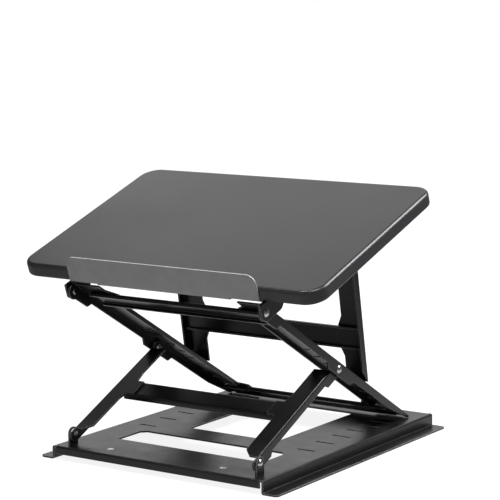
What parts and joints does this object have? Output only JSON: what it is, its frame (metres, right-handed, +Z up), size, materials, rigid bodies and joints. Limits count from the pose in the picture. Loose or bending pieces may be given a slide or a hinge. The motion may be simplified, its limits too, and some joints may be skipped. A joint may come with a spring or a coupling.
{
  "type": "standing desk converter",
  "caption": "Folding steel laptop riser: slotted base, scissor legs and arms, and a tilting tray board held up by a hinged rear prop.",
  "frame": {"origin": "on the floor, under the middle of the base plate", "axes": "+X to the right of the person who faces the stand, +Y to the rear, +Z up"},
  "size_m": [0.387, 0.356, 0.2929],
  "materials": {
    "black_steel": "satin powder coat",
    "stop_steel": "satin powder coat",
    "board": "charcoal matt laminate",
    "rivet": "dark polished steel",
    "screw": "satin",
    "washer": "white nylon",
    "rubber": "matt"
  },
  "bodies": {
    "base": {"base_plate": "black_steel", "base_nuts": "screw", "base_screws": "screw", "base_pads": "rubber", "base_ear_left": "black_steel", "base_ear_right": "black_steel", "base_pivot_rivets": "rivet", "base_pivot_washers": "washer"},
    "legs": {"leg_left": "black_steel", "leg_right": "black_steel", "leg_crossbar": "black_steel", "middle_pivot_rivets": "rivet", "middle_pivot_washers": "washer"},
    "arms": {"arm_left": "black_steel", "arm_right": "black_steel", "top_rail": "black_steel", "foot_rail": "black_steel"},
    "tray": {"tray_board": "board", "stop_plate": "stop_steel", "stop_plate_screws": "screw", "tray_bracket_left": "black_steel", "tray_bracket_right": "black_steel", "tray_bracket_screws": "screw", "tray_hinge_rivets": "rivet", "tray_hinge_washers": "washer", "prop_bracket_left": "black_steel", "prop_bracket_right": "black_steel", "prop_bracket_screws": "screw", "prop_hinge_rivets": "rivet", "prop_hinge_washers": "washer"},
    "prop": {"prop_leg_left": "black_steel", "prop_leg_right": "black_steel", "prop_crossbar": "black_steel"}
  },
  "joints": [
    {"name": "height", "type": "hinge", "parent": "base", "child": "legs", "pos_m": [0, -0.161, 0.0275], "axis": [1, 0, 0], "range_deg": [-23.4, 44.8]},
    {"name": "arm_fold", "type": "hinge", "parent": "legs", "child": "arms", "pos_m": [0, -0.00783, 0.09892], "axis": [1, 0, 0], "range_deg": [-89.7, 46.9]},
    {"name": "tilt", "type": "hinge", "parent": "arms", "child": "tray", "pos_m": [0, -0.15346, 0.18368], "axis": [1, 0, 0], "range_deg": [-16, 20]},
    {"name": "prop_swing", "type": "hinge", "parent": "tray", "child": "prop", "pos_m": [0, 0.02354, 0.24463], "axis": [1, 0, 0], "range_deg": [-40.7, 32.6]}
  ],
  "couplings": [
    {"joint": "arm_fold", "follows": "height", "ratio": -2},
    {"joint": "prop_swing", "follows": "tilt", "ratio": -2.03}
  ]
}
